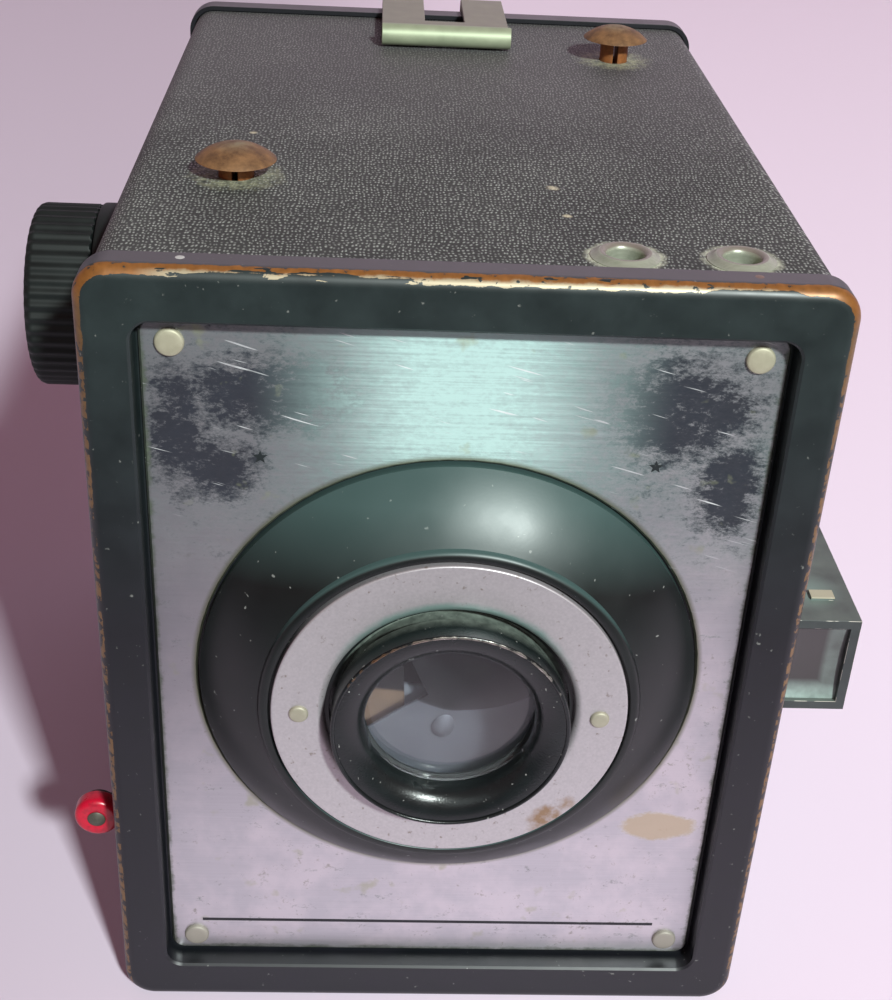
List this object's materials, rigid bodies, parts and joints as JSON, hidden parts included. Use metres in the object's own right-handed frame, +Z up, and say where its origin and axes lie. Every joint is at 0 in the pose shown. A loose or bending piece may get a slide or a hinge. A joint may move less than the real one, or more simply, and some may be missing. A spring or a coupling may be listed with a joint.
{
  "type": "box camera",
  "caption": "Box camera for roll film with a fixed lens, rotary shutter, release lever, side finder, winding knob, flash sockets, strap studs and a hinged, latched back.",
  "frame": {"origin": "on the table under the middle of the camera's box", "axes": "+X to the viewer's right of the front, +Y from the lens to the back door, +Z up"},
  "size_m": [0.1018, 0.1258, 0.1098],
  "materials": {
    "enamel": "gloss enamel, worn at the edges",
    "black_sheet": "matt black sheet steel",
    "leatherette": "pebbled leatherette",
    "faceplate": "brushed, scratched and tarnished",
    "trim": "matt",
    "steel": "satin",
    "nickel": "dull nickel",
    "brass": "satin",
    "rusty_steel": "brown with rust",
    "black_plastic": "satin",
    "spool_sheet": "satin black sheet steel",
    "red_plastic": "gloss",
    "glass": "clear",
    "red_film": "clear red",
    "felt": "matt",
    "fibre": "matt"
  },
  "bodies": {
    "body": {"body_top": "black_sheet", "body_sides": "black_sheet", "body_floor": "black_sheet", "body_covering": "leatherette", "front_panel": "enamel", "panel_nails": "steel", "faceplate": "faceplate", "faceplate_rivets": "nickel", "lens_surround": "enamel", "trim_ring": "trim", "trim_ring_rivets": "nickel", "lens_hood": "black_plastic", "taking_lens": "glass", "lens_retainer": "steel", "shutter_board": "steel", "shutter_posts": "brass", "shutter_screws": "steel", "blade_pivot": "steel", "lever_pivot": "steel", "lever_spring": "steel", "flash_contact": "brass", "contact_insulator": "fibre", "film_carrier": "black_sheet", "light_cone": "black_sheet", "roller_pins": "steel", "winder_collar": "black_plastic", "pawl_spring": "steel", "spool_pins": "steel", "pin_springs": "steel", "strap_studs": "rusty_steel", "flash_sockets": "nickel", "socket_insulators": "fibre", "finder_housing": "enamel", "finder_front_glass": "glass", "finder_eye_glass": "glass", "finder_screws": "steel", "body_hinge_leaf": "steel", "hinge_pin": "steel"},
    "release": {"release_lever": "black_sheet", "lever_button": "red_plastic", "lever_rivet": "rusty_steel"},
    "blade": {"shutter_blade": "steel", "drive_pin": "steel"},
    "ratchet": {"ratchet_wheel": "brass"},
    "winder": {"winding_knob": "black_plastic", "winder_shaft": "steel"},
    "spool": {"take_up_spool": "spool_sheet"},
    "upper_film_roller": {"upper_roller": "steel"},
    "lower_film_roller": {"lower_roller": "steel"},
    "door": {"back_door": "enamel", "door_hinge_leaf": "steel", "back_covering": "leatherette", "light_seal": "felt", "pressure_plate": "black_sheet", "pressure_springs": "steel", "red_window": "red_film", "window_ring": "nickel", "latch_bracket": "nickel"},
    "latch": {"latch": "nickel", "latch_pin": "steel"}
  },
  "joints": [
    {"name": "door_hinge", "type": "hinge", "parent": "body", "child": "door", "pos_m": [0, 0.0579, 0.00155], "axis": [-1, 0, 0], "range_deg": [0, 88]},
    {"name": "latch_lift", "type": "hinge", "parent": "door", "child": "latch", "pos_m": [0, 0.0617, 0.10345], "axis": [-1, 0, 0], "range_deg": [0, 110]},
    {"name": "release_press", "type": "hinge", "parent": "body", "child": "release", "pos_m": [-0.024, -0.0464, 0.0236], "axis": [0, -1, 0], "range_deg": [0, 17], "stiffness_Nm_per_rad": 0.05, "springref_deg": -17.19},
    {"name": "blade_turn", "type": "hinge", "parent": "body", "child": "blade", "pos_m": [0, -0.048, 0.04275], "axis": [0, 1, 0], "range_deg": [0, 48]},
    {"name": "winder_turn", "type": "hinge", "parent": "body", "child": "ratchet", "pos_m": [-0.0378, -0.0231, 0.08845], "axis": [-1, 0, 0], "continuous": true},
    {"name": "winder_pull", "type": "slide", "parent": "ratchet", "child": "winder", "axis": [-1, 0, 0], "range_m": [0, 0.0045]},
    {"name": "spool_turn", "type": "hinge", "parent": "body", "child": "spool", "pos_m": [0, -0.0231, 0.08845], "axis": [-1, 0, 0], "continuous": true},
    {"name": "upper_roller_turn", "type": "hinge", "parent": "body", "child": "upper_film_roller", "pos_m": [0, 0.0468, 0.0982], "axis": [1, 0, 0], "continuous": true},
    {"name": "lower_roller_turn", "type": "hinge", "parent": "body", "child": "lower_film_roller", "pos_m": [0, 0.0468, 0.0073], "axis": [1, 0, 0], "continuous": true}
  ],
  "couplings": [
    {"joint": "blade_turn", "follows": "release_press", "ratio": 2.8235},
    {"joint": "spool_turn", "follows": "winder_turn", "ratio": 1}
  ]
}
